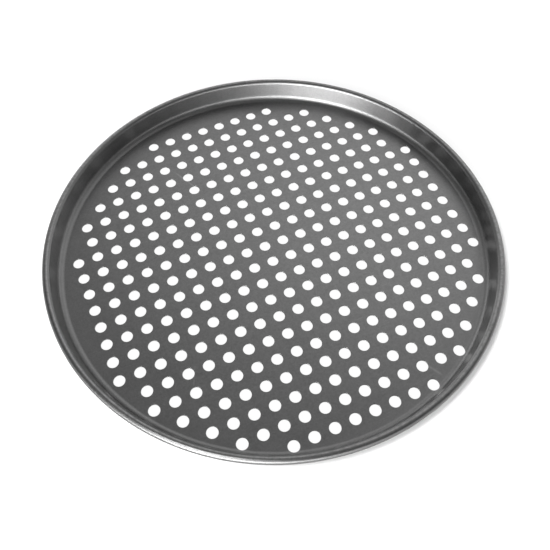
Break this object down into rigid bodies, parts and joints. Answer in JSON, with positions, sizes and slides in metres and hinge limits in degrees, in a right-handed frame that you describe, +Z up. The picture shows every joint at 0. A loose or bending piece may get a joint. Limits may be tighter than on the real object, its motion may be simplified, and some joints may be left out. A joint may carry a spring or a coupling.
{
  "type": "perforated pizza pan",
  "caption": "Round shallow pizza pan of thin coated steel with a punched floor, a flared wall and a rim curled round a stiffening wire.",
  "frame": {"origin": "middle of the pan, on the surface that it stands on", "axes": "+Z up, out of the pan; X and Y along the rows of punched holes"},
  "size_m": [0.3326, 0.3326, 0.017],
  "materials": {
    "coated_steel": "dark grey non-stick coating on carbon steel, satin, fine grain and light baking wear",
    "bare_wire": "plain drawn steel wire, uncoated"
  },
  "bodies": {
    "root": {"pan_sheet": "coated_steel", "rim_wire": "bare_wire"}
  },
  "joints": []
}
